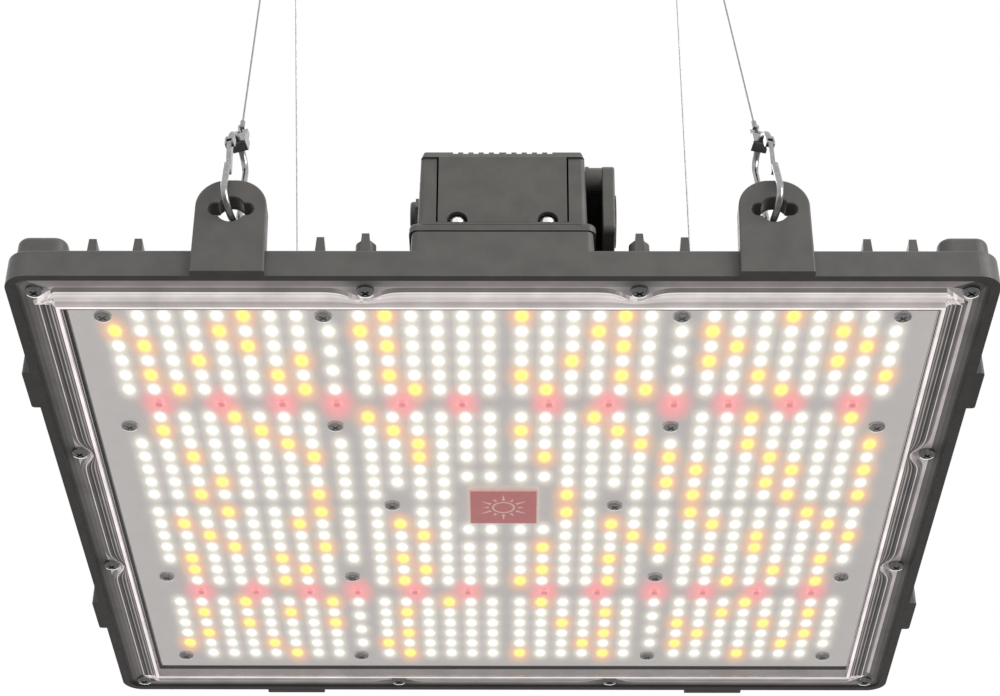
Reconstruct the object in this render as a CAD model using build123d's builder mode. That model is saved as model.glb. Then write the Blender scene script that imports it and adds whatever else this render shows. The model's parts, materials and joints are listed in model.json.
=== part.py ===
"""LED grow light: a square die-cast panel that hangs on two V-shaped wire slings.

Millimetres, +Z up. The origin is the centre of the panel's open underside, in the plane of
the rim's lower lip. X runs along the front edge, and the front is at -Y. The light shines down.
"""

import os
from math import atan2, cos, degrees, sin

from build123d import *

os.makedirs("parts", exist_ok=True)

# ---- driving dimensions ----------------------------------------------------------------
panel = 330.0  # the panel's side, over the rim
rim_height = 10.6
rim_draft = 2.4  # degrees
rim_corner = 8.0
lip = 3.0  # the rim wall's width at the lip
flange_face = 1.0  # underside of the cover's flange
flange_top = 2.8
seat = 5.3  # where the gasket meets the housing
ridge_face = -0.6  # the cover's raised border
window_face = -1.9  # the cover bulges a little below the rim
window_top = -0.1
board_face = 4.3
board_top = 5.9
pad_top = 6.2
board_side = 295.0
ridge_half = 156.3
window_half = 148.6

# screws
cover_screw_at = 155.5
cover_screw_mid = 45.5
board_screw_at = 135.5
board_screw_mid = 60.8
board_screw_centre = 42.5

# LEDs
led_size = 3.0
led_height = 0.8
led_shift = (0.9, -0.45)  # the LED field is not quite centred on the board

# fins and the driver box on the back
fin_pitch = 15.2
fin_top_inner = 18.9
fin_top_outer = 17.9
plinth_width = 62.0
plinth_top = 18.1
rail_top = 22.0
wall_top = 48.5
driver_top = 51.4
driver_width = 56.8
opening_width = 44.4  # between the corner pillars
apron_width = 43.2
pillar_depth = 7.0

# hanger brackets
bracket_x = 90.5
bracket_face = 168.0
bracket_depth = 7.5
bracket_height = 36.5
hole_z = 24.7
hole_radius = 4.8

# slings
apex_z = 390.0
apex_x = {"left": -97.0, "right": 73.0}
hook_radius = 7.5
hook_wire = 2.4
hook_twist = 15.0  # degrees, about the pull of its cable
cable_diameter = 0.7

half = panel / 2
sides_x = {"left": -1, "right": 1}
sides_y = {"front": -1, "rear": 1}


def finish(piece, name):
    """Labels a finished piece and writes it under that name."""
    piece.part.label = name
    export_step(piece.part, f"parts/{name}.step")


def square_points(a, b):
    """The points (+-a, +-b), and (+-b, +-a) where the two differ."""
    points = {(i * x, j * y) for x, y in ((a, b), (b, a)) for i in (-1, 1) for j in (-1, 1)}
    return sorted(points)


cover_screw_points = square_points(cover_screw_at, cover_screw_at)
cover_screw_points += square_points(cover_screw_at, cover_screw_mid)
board_screw_points = square_points(board_screw_at, board_screw_at)
board_screw_points += square_points(board_screw_at, board_screw_mid)
board_screw_points += square_points(board_screw_mid, board_screw_mid)
board_screw_points += [(-board_screw_centre, 0), (board_screw_centre, 0)]


def pan_screws(points, face, head_radius, head_height, shank_radius, shank_top, down=True):
    """Pan-head screws whose heads sit against the plane z = face, with a cross recess each."""
    way = -1 if down else 1
    with BuildPart() as screws:
        for x, y in points:
            with BuildSketch(Plane.XY.offset(face)):
                with Locations((x, y)):
                    Circle(head_radius)
            head = extrude(amount=way * head_height)
            rim = head.edges().filter_by(GeomType.CIRCLE)
            fillet(rim.sort_by(Axis.Z)[0 if down else -1], head_height * 0.55)
            with BuildSketch(Plane.XY.offset(face)):
                with Locations((x, y)):
                    Circle(shank_radius)
            extrude(amount=shank_top - face)
            with BuildSketch(Plane.XY.offset(face + way * head_height)):
                with Locations((x, y)):
                    Rectangle(head_radius * 1.1, head_radius * 0.24, rotation=45)
                    Rectangle(head_radius * 1.1, head_radius * 0.24, rotation=-45)
            extrude(amount=-way * head_height * 0.5, mode=Mode.SUBTRACT)
    return screws


# ---- heatsink housing: rim, plate, fins, bosses and the driver's plinth ------------------
fin_slots = [k for k in range(-9, 10) if abs(k) >= 3]
fin_reach = {3: 162.0, 5: 142.0, 6: 142.0, 7: 142.0}  # short where the brackets' feet are
boss_at = (3 * fin_pitch, half - 7.0)
corner_foot_at = 153.5


def fin_polygon(k):
    """A fin's tapered section, from inside the plate up to its top."""
    top = fin_top_inner - (abs(k) - 3) * (fin_top_inner - fin_top_outer) / 6
    x = k * fin_pitch
    return [(x - 2.0, 8.5), (x + 2.0, 8.5), (x + 1.25, top), (x - 1.25, top)]


with BuildPart() as heatsink_housing:
    with BuildSketch():
        RectangleRounded(panel, panel, rim_corner)
    extrude(amount=rim_height, taper=rim_draft)
    fillet(heatsink_housing.faces().sort_by(Axis.Z)[-1].edges(), 1.0)
    with BuildSketch():
        RectangleRounded(plinth_width, panel, 3)
    extrude(amount=plinth_top, taper=rim_draft)
    # cast pads on the two plain sides, where the front and rear have their brackets
    with BuildSketch():
        with Locations(*[(i * (half + 0.5), j * 91) for i in (-1, 1) for j in (-1, 1)]):
            RectangleRounded(5, 24.4, 1.2)
    extrude(amount=8.6, taper=2)
    # fins
    for reach in (162.0, 160.0, 142.0):
        with BuildSketch(Plane.XZ):
            for k in fin_slots:
                if fin_reach.get(abs(k), 160.0) == reach:
                    Polygon(*fin_polygon(k), align=None)
        extrude(amount=reach, both=True)
    # screw bosses at the inner fins' ends, and the corner feet
    with BuildSketch(Plane.XY.offset(8.5)):
        with Locations(*[(i * boss_at[0], j * boss_at[1]) for i in (-1, 1) for j in (-1, 1)]):
            Circle(3.6)
    extrude(amount=7.7, taper=1)
    with BuildSketch(Plane.XY.offset(16.1)):
        with Locations(*[(i * boss_at[0], j * boss_at[1]) for i in (-1, 1) for j in (-1, 1)]):
            Circle(3.4)
    extrude(amount=1.5, taper=38)
    with BuildSketch(Plane.XY.offset(8.5)):
        with Locations(*square_points(corner_foot_at, corner_foot_at)):
            RectangleRounded(17.6, 17.6, 4.8)
    feet = extrude(amount=9.6, taper=3)
    fillet(feet.edges().group_by(Axis.Z)[-1], 2.2)
    # recesses for the cover, the board and the driver's wires
    with BuildSketch():
        RectangleRounded(panel - 2 * lip, panel - 2 * lip, rim_corner - lip)
    extrude(amount=seat, mode=Mode.SUBTRACT)
    with BuildSketch(Plane.XY.offset(seat)):
        RectangleRounded(298, 298, 4)
    extrude(amount=pad_top - seat, mode=Mode.SUBTRACT)
    with BuildSketch(Plane.XY.offset(plinth_top)):
        RectangleRounded(50, 296, 3)
    extrude(amount=-(plinth_top - rim_height), mode=Mode.SUBTRACT)
    # tapped holes
    with BuildSketch(Plane.XY.offset(pad_top)):
        with Locations(*board_screw_points):
            Circle(1.5)
    extrude(amount=2.6, mode=Mode.SUBTRACT)
    with BuildSketch(Plane.XY.offset(seat)):
        with Locations(*cover_screw_points):
            Circle(1.5)
    extrude(amount=3.4, mode=Mode.SUBTRACT)
    bracket_screw_points = [
        (i * bracket_x + k, j * 153.0) for i in (-1, 1) for j in (-1, 1) for k in (-7, 7)
    ]
    with BuildSketch(Plane.XY.offset(rim_height)):
        with Locations(*bracket_screw_points):
            Circle(1.5)
    extrude(amount=-3.0, mode=Mode.SUBTRACT)
    rail_screw_points = [(i * 15.1, j * (half - 3.4)) for i in (-1, 1) for j in (-1, 1)]
    with BuildSketch(Plane.XY.offset(plinth_top)):
        with Locations(*rail_screw_points):
            Circle(1.5)
    extrude(amount=-6.0, mode=Mode.SUBTRACT)
    # wire hole from the driver down to the LED board
    with BuildSketch():
        with Locations((0, 120)):
            Circle(4)
    extrude(amount=rim_height + 1, mode=Mode.SUBTRACT)
finish(heatsink_housing, "heatsink_housing")

# ---- thermal pad and LED board ---------------------------------------------------------
with BuildPart() as thermal_pad:
    with BuildSketch(Plane.XY.offset(board_top)):
        RectangleRounded(board_side - 2, board_side - 2, 3)
        with Locations(*board_screw_points):
            Circle(2.5, mode=Mode.SUBTRACT)
        with Locations((0, 120)):
            Circle(5, mode=Mode.SUBTRACT)
    extrude(amount=pad_top - board_top)
finish(thermal_pad, "thermal_pad")

with BuildPart() as led_board:
    with BuildSketch(Plane.XY.offset(board_face)):
        RectangleRounded(board_side, board_side, 3)
        with Locations(*board_screw_points):
            Circle(1.7, mode=Mode.SUBTRACT)
    extrude(amount=board_top - board_face)
finish(led_board, "led_board")

board_screws = pan_screws(board_screw_points, board_face, 3.0, 1.5, 1.45, pad_top + 2.2)
finish(board_screws, "board_screws")

# ---- deep-red LEDs -----------------------------------------------------------------------
red_row = 75.7
red_columns = [15.5, 37.0, 60.3, 79.8, 101.7, 124.0]
red_points = [
    (i * x + led_shift[0], j * red_row + led_shift[1])
    for x in red_columns for i in (-1, 1) for j in (-1, 1)
]
with BuildPart() as red_leds:
    with BuildSketch(Plane.XY.offset(board_face - led_height)):
        with Locations(*red_points):
            Rectangle(led_size, led_size)
    extrude(amount=led_height)
finish(red_leds, "red_leds")

# ---- badge -------------------------------------------------------------------------------
with BuildPart() as centre_badge:
    with BuildSketch(Plane.XY.offset(board_face)):
        RectangleRounded(26.5, 27, 1)
    extrude(amount=-1.5)
    chamfer(centre_badge.faces().sort_by(Axis.Z)[0].edges(), 0.4)
finish(centre_badge, "centre_badge")


# ---- gasket, lens cover and its screws ---------------------------------------------------
def scalloped(half_width, scallop):
    """A rounded square that bows inwards round each cover screw."""
    RectangleRounded(2 * half_width, 2 * half_width, 2.0)
    with Locations(*cover_screw_points):
        Circle(scallop, mode=Mode.SUBTRACT)


with BuildPart() as gasket:
    with BuildSketch(Plane.XY.offset(flange_top)):
        RectangleRounded(322, 322, 7)
        RectangleRounded(301.5, 301.5, 3, mode=Mode.SUBTRACT)
        with Locations(*cover_screw_points):
            Circle(2.2, mode=Mode.SUBTRACT)
    extrude(amount=seat - flange_top)
finish(gasket, "gasket")

with BuildPart() as lens_cover:
    with BuildSketch(Plane.XY.offset(flange_face)):
        RectangleRounded(323, 323, 7.5)
    extrude(amount=flange_top - flange_face)
    # a raised border, and inside it the window, which is hollow over the LEDs
    with BuildSketch(Plane.XY.offset(flange_face)):
        scalloped(ridge_half, 6.2)
    extrude(amount=-(flange_face - ridge_face), taper=20)
    with BuildSketch(Plane.XY.offset(ridge_face)):
        scalloped(window_half + 0.6, 10.0)
    extrude(amount=-(ridge_face - window_face), taper=20)
    with BuildSketch(Plane.XY.offset(flange_top)):
        Rectangle(2 * window_half - 1, 2 * window_half - 1)
    extrude(amount=-(flange_top - window_top), mode=Mode.SUBTRACT)
    # fine ribs on the raised border
    for inset in (1.6, 3.2, 4.8):
        with BuildSketch(Plane.XY.offset(ridge_face)):
            scalloped(ridge_half - inset, 6.2 + inset)
        extrude(amount=-0.35)
        with BuildSketch(Plane.XY.offset(ridge_face)):
            scalloped(ridge_half - inset - 0.5, 6.7 + inset)
        extrude(amount=-0.35, mode=Mode.SUBTRACT)
    # long stiffening pads between the screws
    pad_y = half - 6.8
    with BuildSketch(Plane.XY.offset(flange_face)):
        for turn in (0, 90, 180, 270):
            with PolarLocations(0, 1, start_angle=turn):
                with Locations((0, pad_y)):
                    SlotOverall(78, 3.6)
                with Locations((-(cover_screw_at + cover_screw_mid) / 2, pad_y)):
                    SlotOverall(96, 3.6)
                with Locations(((cover_screw_at + cover_screw_mid) / 2, pad_y)):
                    SlotOverall(96, 3.6)
    extrude(amount=-0.8)
    with BuildSketch(Plane.XY.offset(flange_top)):
        with Locations(*cover_screw_points):
            Circle(1.8)
    extrude(amount=-flange_top - 2, mode=Mode.SUBTRACT)
finish(lens_cover, "lens_cover")

cover_screws = pan_screws(cover_screw_points, flange_face, 3.0, 1.9, 1.45, seat + 3.0)
finish(cover_screws, "cover_screws")

# ---- hanger brackets ---------------------------------------------------------------------
shelf = rim_height + 0.05  # the bracket's underside, where it sits on the rim


def hanger_bracket(side_x, side_y):
    face = Plane(
        origin=(side_x * bracket_x, side_y * bracket_face, 0),
        x_dir=(-side_y, 0, 0),
        z_dir=(0, side_y, 0),
    )
    with BuildPart() as bracket:
        with BuildSketch(face) as tab:
            corners = [(-12.3, 0), (12.3, 0), (11.75, bracket_height), (-11.75, bracket_height)]
            Polygon(*corners, align=None)
            fillet(tab.vertices().group_by(Axis.Y)[-1], 10.4)
        extrude(amount=-bracket_depth)
        with BuildSketch(face.offset(-2.95)):
            with Locations((0, -1)):
                Rectangle(40, shelf + 1, align=(Align.CENTER, Align.MIN))
        extrude(amount=-20, mode=Mode.SUBTRACT)
        with BuildSketch(face.offset(-bracket_depth)):
            with Locations((0, shelf)):
                Rectangle(23.4, 3, align=(Align.CENTER, Align.MIN))
        extrude(amount=-13)
        with BuildSketch(face):
            with Locations((0, hole_z)):
                Circle(hole_radius)
                SlotOverall(15.2, 4.6)
        extrude(amount=-bracket_depth, mode=Mode.SUBTRACT)
        front = bracket.faces().filter_by(Axis.Y).sort_by(Axis.Y)[0 if side_y < 0 else -1]
        fillet(front.edges().filter_by(lambda edge: edge.center().Z > 1), 0.6)
        with BuildSketch(Plane.XY.offset(shelf)):
            with Locations(*[(side_x * bracket_x + k, side_y * 153.0) for k in (-7, 7)]):
                Circle(1.7)
        extrude(amount=4, mode=Mode.SUBTRACT)
    return bracket


for name_y, side_y in sides_y.items():
    for name_x, side_x in sides_x.items():
        finish(hanger_bracket(side_x, side_y), f"{name_y}_{name_x}_bracket")

bracket_screws = pan_screws(
    bracket_screw_points, shelf + 3, 2.8, 2.2, 1.45, rim_height - 2.6, down=False
)
finish(bracket_screws, "bracket_screws")

# ---- driver box --------------------------------------------------------------------------
gland_at = (-driver_width / 2 + 0.3, -150.0, 33.4)
dimmer_at = (driver_width / 2 - 0.6, -154.6, 45.9)
wall = 3.0
floor_top = plinth_top + 2.0
seam = 0.5  # the visible gap between the plinth and the rail
lid_sink = 0.6  # how deep the lid's screw heads sit

with BuildPart() as driver_housing:
    with BuildSketch(Plane.XY.offset(plinth_top)):
        RectangleRounded(plinth_width - 1.2, panel - 3.0, 3)
    extrude(amount=seam)
    with BuildSketch(Plane.XY.offset(plinth_top + seam)):
        RectangleRounded(plinth_width + 0.4, panel - 1.4, 3)
    rail = extrude(amount=rail_top - plinth_top - seam)
    fillet(rail.faces().sort_by(Axis.Z)[-1].edges(), 1.6)
    with BuildSketch(Plane.XY.offset(rail_top - 1)):
        RectangleRounded(driver_width, panel - 1.4, 2.2)
    extrude(amount=wall_top - rail_top + 1, taper=1.5)
    # inside, open at the top, and open at both ends between the corner pillars
    with BuildSketch(Plane.XY.offset(floor_top)):
        Rectangle(driver_width - 2 * wall, panel - 2 * pillar_depth)
    extrude(amount=wall_top - floor_top, mode=Mode.SUBTRACT)
    with BuildSketch(Plane.XY.offset(rail_top)):
        Rectangle(opening_width, panel)
    extrude(amount=wall_top - rail_top, mode=Mode.SUBTRACT)
    with BuildSketch(Plane.XY.offset(plinth_top)):
        with Locations(*rail_screw_points):
            Circle(1.7)
        with Locations((0, 120)):
            Circle(4)
    extrude(amount=rail_top - plinth_top, mode=Mode.SUBTRACT)
    # holes for the cord gland and the dimmer's neck
    with BuildSketch(Plane.YZ.offset(-40)):
        with Locations(gland_at[1:]):
            Circle(4.2)
    extrude(amount=20, mode=Mode.SUBTRACT)
    with BuildSketch(Plane.YZ.offset(40)):
        with Locations(dimmer_at[1:]):
            Circle(2.2)
    extrude(amount=-20, mode=Mode.SUBTRACT)
    lid_screw_points = [(i * 23.9, j * 160.6) for i in (-1, 1) for j in (-1, 1)]
    with BuildSketch(Plane.XY.offset(wall_top)):
        with Locations(*lid_screw_points):
            Circle(1.3)
    extrude(amount=-7, mode=Mode.SUBTRACT)
finish(driver_housing, "driver_housing")

groove_points = [i * (2.1 + 3.47 * k) for k in range(5) for i in (-1, 1)]
with BuildPart() as driver_cover:
    with BuildSketch(Plane.XY.offset(wall_top)):
        RectangleRounded(driver_width - 1.5, panel - 1.4, 1.6)
    lid = extrude(amount=driver_top - wall_top, taper=20)
    fillet(lid.faces().sort_by(Axis.Z)[-1].edges(), 0.8)
    with BuildSketch(Plane.XY.offset(wall_top)):
        Rectangle(apron_width, panel - 1.4)
    extrude(amount=-2.5)
    # aprons that close the two ends
    with BuildSketch(Plane.XY.offset(rail_top + 0.05)):
        with Locations((0, half - 3.2), (0, -half + 3.2)):
            Rectangle(apron_width, 5)
    extrude(amount=wall_top - rail_top - 2)
    with BuildSketch(Plane.XZ):
        with Locations(*[(x, driver_top) for x in groove_points]):
            Rectangle(1.75, 2.2)
    extrude(amount=half, both=True, mode=Mode.SUBTRACT)
    # arched notches over the screws in the rail
    with BuildSketch(Plane.XZ):
        with Locations(*[(i * 15.1, rail_top) for i in (-1, 1)]):
            SlotOverall(8.2, 7.0, rotation=90)
    extrude(amount=half, both=True, mode=Mode.SUBTRACT)
    with BuildSketch(Plane.XY.offset(driver_top)):
        with Locations(*lid_screw_points):
            Circle(1.5)
    extrude(amount=-3, mode=Mode.SUBTRACT)
    with BuildSketch(Plane.XY.offset(driver_top)):
        with Locations(*lid_screw_points):
            Circle(2.1)
    extrude(amount=-lid_sink, mode=Mode.SUBTRACT)
finish(driver_cover, "driver_cover")

rail_screws = pan_screws(rail_screw_points, rail_top, 2.7, 2.8, 1.45, plinth_top - 5, down=False)
finish(rail_screws, "rail_screws")
lid_face = driver_top - lid_sink
lid_screws = pan_screws(lid_screw_points, lid_face, 1.9, 0.6, 1.25, wall_top - 6, down=False)
finish(lid_screws, "lid_screws")

# what the box holds
board_z = floor_top + 4
standoff_points = [(i * 18, y) for i in (-1, 1) for y in (-135, 0, 135)]
with BuildPart() as circuit_board:
    with BuildSketch(Plane.XY.offset(board_z)):
        Rectangle(44, 286)
        with Locations(*standoff_points):
            Circle(1.6, mode=Mode.SUBTRACT)
        with Locations((0, 120)):
            Circle(4, mode=Mode.SUBTRACT)
    extrude(amount=1.6)
finish(circuit_board, "driver_circuit_board")

with BuildPart() as standoffs:
    with BuildSketch(Plane.XY.offset(floor_top)):
        with Locations(*standoff_points):
            Circle(3)
    extrude(amount=4)
    with BuildSketch(Plane.XY.offset(board_z)):
        with Locations(*standoff_points):
            Circle(1.5)
    extrude(amount=3)
finish(standoffs, "board_standoffs")

on_board = board_z + 1.6
with BuildPart() as transformer:
    with BuildSketch(Plane.XY.offset(on_board)):
        with Locations((0, 40)):
            Rectangle(26, 30)
    extrude(amount=6)
    with BuildSketch(Plane.XY.offset(on_board + 6)):
        with Locations((0, 40)):
            RectangleRounded(20, 24, 5)
    extrude(amount=7)
    with BuildSketch(Plane.XY.offset(on_board + 13)):
        with Locations((0, 40)):
            Rectangle(26, 30)
    extrude(amount=5)
finish(transformer, "driver_transformer")

with BuildPart() as capacitors:
    with BuildSketch(Plane.XY.offset(on_board)):
        with Locations(*[(x, y) for x in (-9, 9) for y in (-60, -44)]):
            Circle(6)
    cans = extrude(amount=17)
    fillet(cans.edges().group_by(Axis.Z)[-1], 0.8)
finish(capacitors, "driver_capacitors")

with BuildPart() as choke:
    with BuildSketch(Plane.XY.offset(on_board)):
        with Locations((0, -95)):
            Circle(11)
            Circle(4.5, mode=Mode.SUBTRACT)
    extrude(amount=11)
    fillet(choke.edges(), 1.5)
finish(choke, "driver_choke")

# ---- cord gland: threaded body, cap nut outside and lock nut inside ----------------------
outer_x = -driver_width / 2 + 0.1
with BuildPart() as gland_body:
    with BuildSketch(Plane.YZ.offset(outer_x - 1.1)):
        with Locations(gland_at[1:]):
            Circle(4.1)
            Circle(3.0, mode=Mode.SUBTRACT)
    extrude(amount=7.4)
    with BuildSketch(Plane.YZ.offset(outer_x - 1.2)):
        with Locations(gland_at[1:]):
            RegularPolygon(5.6, 6, major_radius=False)
            Circle(3.0, mode=Mode.SUBTRACT)
    extrude(amount=1.0)
finish(gland_body, "gland_body")

with BuildPart() as gland_cap:
    with BuildSketch(Plane.YZ.offset(outer_x - 1.2)):
        with Locations(gland_at[1:]):
            Circle(5.4)
            Circle(3.2, mode=Mode.SUBTRACT)
    extrude(amount=-1.8)
    fillet(gland_cap.faces().sort_by(Axis.X)[0].outer_wire().edges(), 0.8)
finish(gland_cap, "gland_cap")

with BuildPart() as gland_nut:
    with BuildSketch(Plane.YZ.offset(-driver_width / 2 + wall)):
        with Locations(gland_at[1:]):
            RegularPolygon(5.2, 6, major_radius=False)
            Circle(4.15, mode=Mode.SUBTRACT)
    extrude(amount=2.5)
finish(gland_nut, "gland_lock_nut")

# ---- dimmer pod on the other side of the box ---------------------------------------------
pod_y = -144.5
pod_z = 36.1
pod_depth = 28.0
pod_height = 27.4
inner_x = 33.7
split_x = 35.5
pod_outer_x = 38.0
dial_z = 35.5

with BuildPart() as dimmer_neck:
    with BuildSketch(Plane.YZ.offset(driver_width / 2 - 0.4)):
        with Locations(dimmer_at[1:]):
            Circle(4.5)
    extrude(amount=1.3)
    with BuildSketch(Plane.YZ.offset(driver_width / 2 - 0.4)):
        with Locations(dimmer_at[1:]):
            Circle(4.1)
    extrude(amount=inner_x - driver_width / 2 + 0.4)
    with BuildSketch(Plane.YZ.offset(driver_width / 2 - wall - 2)):
        with Locations(dimmer_at[1:]):
            Circle(2.1)
    extrude(amount=2 + wall)
    with BuildSketch(Plane.YZ.offset(20)):
        with Locations(dimmer_at[1:]):
            Circle(1.4)
    extrude(amount=20, mode=Mode.SUBTRACT)
finish(dimmer_neck, "dimmer_neck")

# the black carrier behind the neck, between the box and the pod
carrier_outline = [(-151.0, 47.0), (-152.6, 41.6), (-112, 22.9), (-107, 22.9), (-107, 47.0)]
with BuildPart() as dimmer_carrier:
    with BuildSketch(Plane.YZ.offset(driver_width / 2 + 0.15)):
        Polygon(*carrier_outline, align=None)
        with Locations(dimmer_at[1:]):
            Circle(4.55, mode=Mode.SUBTRACT)
    extrude(amount=inner_x - driver_width / 2 - 0.15)
    fillet(dimmer_carrier.edges().filter_by(Axis.X).group_by(Axis.Y)[-1], 1.5)
finish(dimmer_carrier, "dimmer_carrier")


def pod_section():
    with Locations((pod_y, pod_z)):
        RectangleRounded(pod_depth, pod_height, 2.6)


with BuildPart() as pod_inner:
    with BuildSketch(Plane.YZ.offset(inner_x)):
        pod_section()
    extrude(amount=split_x - inner_x)
    fillet(pod_inner.faces().sort_by(Axis.X)[0].outer_wire().edges(), 0.5)
    with BuildSketch(Plane.YZ.offset(split_x)):
        with Locations((pod_y, dial_z)):
            Circle(7.2)
    extrude(amount=-0.9, mode=Mode.SUBTRACT)
    with BuildSketch(Plane.YZ.offset(split_x)):
        with Locations(dimmer_at[1:]):
            Circle(1.4)
    extrude(amount=-4, mode=Mode.SUBTRACT)
finish(pod_inner, "dimmer_inner_shell")

with BuildPart() as pod_outer:
    with BuildSketch(Plane.YZ.offset(split_x)):
        pod_section()
    extrude(amount=pod_outer_x - split_x)
    fillet(pod_outer.faces().sort_by(Axis.X)[-1].outer_wire().edges(), 0.8)
    with BuildSketch(Plane.YZ.offset(split_x)):
        with Locations((pod_y, dial_z)):
            Circle(7.2)
    extrude(amount=0.9, mode=Mode.SUBTRACT)
    with BuildSketch(Plane.YZ.offset(pod_outer_x)):
        with Locations((pod_y, dial_z)):
            Circle(9.4)
    extrude(amount=-1.0, mode=Mode.SUBTRACT)
    with BuildSketch(Plane.YZ.offset(pod_outer_x)):
        with Locations((pod_y, dial_z)):
            Circle(2.05)
    extrude(amount=-4, mode=Mode.SUBTRACT)
finish(pod_outer, "dimmer_outer_shell")

with BuildPart() as potentiometer:
    with BuildSketch(Plane.YZ.offset(split_x - 0.8)):
        with Locations((pod_y, dial_z)):
            Circle(7.0)
    extrude(amount=0.9)
finish(potentiometer, "dimmer_potentiometer")

with BuildPart() as dial:
    with BuildSketch(Plane.YZ.offset(pod_outer_x - 0.9)):
        with Locations((pod_y, dial_z)):
            Circle(9.0)
            with PolarLocations(9.3, 24):
                Circle(0.6, mode=Mode.SUBTRACT)
    extrude(amount=1.5)
    with BuildSketch(Plane.YZ.offset(pod_outer_x + 0.6)):
        with Locations((pod_y, dial_z + 3)):
            Rectangle(1.2, 7)
    extrude(amount=-0.5, mode=Mode.SUBTRACT)
    with BuildSketch(Plane.YZ.offset(split_x + 0.2)):
        with Locations((pod_y, dial_z)):
            Circle(1.98)
    extrude(amount=2)
finish(dial, "dimmer_dial")

# ---- slings ------------------------------------------------------------------------------
# Each sling has a snap hook at each end, and its two cables meet in a link plate at the apex.
# In a hook's own plane x points away from the panel, y runs up along the pull of the cable,
# and the origin is the centre of the hook's lower bend.
hole_depth = bracket_face - bracket_depth / 2
bend_offset_y = 1.7  # how far the bend's centre stands outside the middle of the bracket
bend_offset_z = 4.1  # and above the middle of its hole
link_hole = (4.6, -7.4)  # the cable's hole in the link plate, from the middle of its bore

nose_tip = 12.3
bend_top = 31.0
arm_end = 28.4
pivot_y = 26.6
block_low = 39.9
block_top = 46.9
eye_radius = 2.4
eye_wire = 0.35
eye_y = 47.3
ferrule_low = 50.05
ferrule_length = 4.5
ferrule_radius = 0.95


def lean(side):
    """How far a sling's plane leans towards +X from the vertical, in radians."""
    return atan2(apex_x[side] - sides_x[side] * bracket_x, apex_z - hole_z)


def sling_plane(side):
    """The plane that both cables of a sling lie in: x is +Y, y is up, origin at the apex."""
    tilt = lean(side)
    return Plane(
        origin=(apex_x[side], 0, apex_z), x_dir=(0, 1, 0), z_dir=(cos(tilt), 0, -sin(tilt))
    )


def bend_centre(side, side_y):
    tilt = lean(side)
    x = sides_x[side] * bracket_x + bend_offset_z * sin(tilt)
    return Vector(x, side_y * (hole_depth + bend_offset_y), hole_z + bend_offset_z * cos(tilt))


def cable_hole(side, side_y):
    """The middle of the hole in the link plate for one cable."""
    return sling_plane(side).from_local_coords(Vector(side_y * link_hole[0], link_hole[1], 0))


def hook_plane(side, side_y):
    start, end = bend_centre(side, side_y), cable_hole(side, side_y)
    along = (end - start).normalized()
    normal = Vector(cos(lean(side)), 0, -sin(lean(side))) * side_y
    across = along.cross(normal)
    twist = -hook_twist * sides_x[side] * side_y
    about = Axis((0, 0, 0), tuple(along))
    across, normal = across.rotate(about, twist), normal.rotate(about, twist)
    return Plane(origin=start, x_dir=across, z_dir=normal)


def hook(plane):
    """A snap hook bent from rod, with an eye block on top and two cheeks with the gate's pin."""
    r = hook_radius
    with BuildPart() as piece:
        with BuildLine(plane) as path:
            Line((r, nose_tip), (r, 0))
            ThreePointArc((r, 0), (0, -r), (-r, 0))
            Line((-r, 0), (-r, bend_top))
            ThreePointArc((-r, bend_top), (0, bend_top + r), (r, bend_top))
            Line((r, bend_top), (r, arm_end))
        with BuildSketch(Plane(origin=path.line @ 0, z_dir=path.line % 0)):
            Circle(hook_wire / 2)
        sweep()
        # eye block, closed round the top of the bend
        with BuildSketch(plane.offset(-2.75)):
            with Locations((0, (bend_top + r - 1.6 + block_top) / 2)):
                RectangleRounded(4.6, block_top - bend_top - r + 1.6, 1.0)
        extrude(amount=5.5)
        side_cut = Plane(origin=plane.origin, x_dir=plane.z_dir, z_dir=-plane.x_dir)
        for way in (-1, 1):
            with BuildSketch(side_cut.offset(way * 3)):
                with Locations((0, block_top - 1.6)):
                    Rectangle(6, 5.2)
            extrude(amount=-way * 1.9, mode=Mode.SUBTRACT)
        with BuildSketch(side_cut):
            with Locations((0, eye_y - eye_radius)):
                Circle(1.0)
        extrude(amount=4, both=True, mode=Mode.SUBTRACT)
        # cheeks and pin for the gate
        for way in (-1, 1):
            with BuildSketch(plane.offset(way * 0.95)):
                with Locations((r, pivot_y + 1.2)):
                    SlotOverall(5.0, 2.4, rotation=90)
            extrude(amount=way * 0.6)
        with BuildSketch(plane.offset(-1.55)):
            with Locations((r, pivot_y)):
                Circle(0.5)
        extrude(amount=3.1)
        with BuildSketch(plane.offset(-1.55)):
            with Locations((r, arm_end + 1.2)):
                Rectangle(2.0, 1.8)
        extrude(amount=3.1)
    return piece


gate_tip = (5.1, 10.9)


def gate(plane):
    """The gate: a flat bar that turns on the pin, and whose tip rests inside the hook's nose."""
    with BuildPart() as piece:
        with BuildSketch(plane.offset(-0.85)):
            with Locations((hook_radius, pivot_y)):
                Circle(1.05)
            with Locations(gate_tip):
                Circle(0.7)
            make_hull()
            with Locations((hook_radius, pivot_y)):
                Circle(0.55, mode=Mode.SUBTRACT)
        extrude(amount=1.7)
    return piece


def straight_round(start, end, radius):
    """A straight round bar from one point to another."""
    with BuildPart() as bar:
        with BuildSketch(Plane(origin=start, z_dir=end - start)):
            Circle(radius)
        extrude(amount=(end - start).length)
    return bar


def wire_ring(centre, normal):
    with BuildPart() as ring:
        with Locations(Plane(origin=centre, z_dir=normal)):
            Torus(eye_radius, eye_wire)
    return ring


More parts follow.
